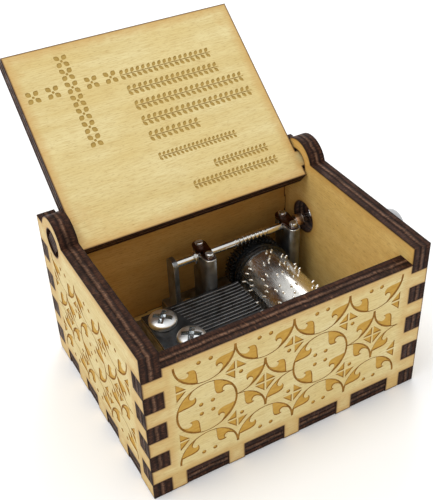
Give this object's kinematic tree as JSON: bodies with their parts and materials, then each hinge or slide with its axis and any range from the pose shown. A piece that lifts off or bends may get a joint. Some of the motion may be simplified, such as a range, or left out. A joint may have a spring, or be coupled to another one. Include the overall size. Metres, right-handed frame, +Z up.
{
  "type": "music box",
  "caption": "Hand-cranked music box: a finger-jointed plywood case with a leaning lid, and a comb, pinned drum and worm-driven movement inside.",
  "frame": {"origin": "centre of the case's underside, on the surface that it stands on", "axes": "+X towards the crank, +Y towards the back where the lid is hinged, +Z up"},
  "size_m": [0.0792, 0.0766, 0.0636],
  "materials": {
    "birch": "pale birch plywood, laser cut, with charred edges and shallow engraved scrollwork",
    "cast_zinc": "die-cast zinc, matt grey",
    "spring_steel": "ground spring steel, dark grey",
    "bright_steel": "bright turned steel",
    "brown_plate": "steel with a dark brown finish",
    "black_nylon": "moulded black nylon",
    "nickel": "polished nickel plate",
    "brass": "reddish brass",
    "lead": "dull soft metal",
    "white_plastic": "satin white plastic"
  },
  "bodies": {
    "case": {"front_panel": "birch", "back_panel": "birch", "left_side_panel": "birch", "right_side_panel": "birch", "bottom_panel": "birch", "movement_base": "cast_zinc", "left_bearing_post": "cast_zinc", "right_bearing_post": "cast_zinc", "shaft_end_stop": "cast_zinc", "front_drum_bracket": "cast_zinc", "rear_drum_bracket": "cast_zinc", "comb": "spring_steel", "left_front_cap_screw": "bright_steel", "left_rear_cap_screw": "bright_steel", "right_front_cap_screw": "bright_steel", "right_rear_cap_screw": "bright_steel", "end_stop_screw": "bright_steel", "mounting_screw_1": "bright_steel", "mounting_screw_2": "bright_steel", "mounting_screw_3": "bright_steel", "drum_spindle": "bright_steel", "left_bearing_cap": "brown_plate", "right_bearing_cap": "brown_plate", "comb_screw_rear": "nickel", "comb_screw_front": "nickel", "tuning_weight_1": "lead", "tuning_weight_2": "lead", "tuning_weight_3": "lead", "tuning_weight_4": "lead", "tuning_weight_5": "lead", "tuning_weight_6": "lead"},
    "lid": {"lid": "birch"},
    "crank": {"crank_shaft": "bright_steel", "shaft_collar": "bright_steel", "shaft_coupling": "brass", "crank_arm": "bright_steel", "crank_nut": "bright_steel", "knob_pin": "bright_steel"},
    "knob": {"crank_knob": "white_plastic"},
    "drum": {"drum": "nickel", "drum_front_plug": "brass", "drum_gear": "black_nylon"}
  },
  "joints": [
    {"name": "lid_hinge", "type": "hinge", "parent": "case", "child": "lid", "pos_m": [0, 0.0167, 0.0361], "axis": [1, 0, 0], "range_deg": [0, 142]},
    {"name": "crank_turn", "type": "hinge", "parent": "case", "child": "crank", "pos_m": [0.0352, 0.0138, 0.0218], "axis": [1, 0, 0], "continuous": true},
    {"name": "drum_spin", "type": "hinge", "parent": "case", "child": "drum", "pos_m": [0.0145, 0, 0.01378], "axis": [0, 1, 0], "continuous": true},
    {"name": "knob_spin", "type": "hinge", "parent": "crank", "child": "knob", "pos_m": [0.0417, 0.00146, 0.02126], "axis": [1, 0, 0], "continuous": true}
  ],
  "couplings": [
    {"joint": "drum_spin", "follows": "crank_turn", "ratio": -0.02381}
  ]
}
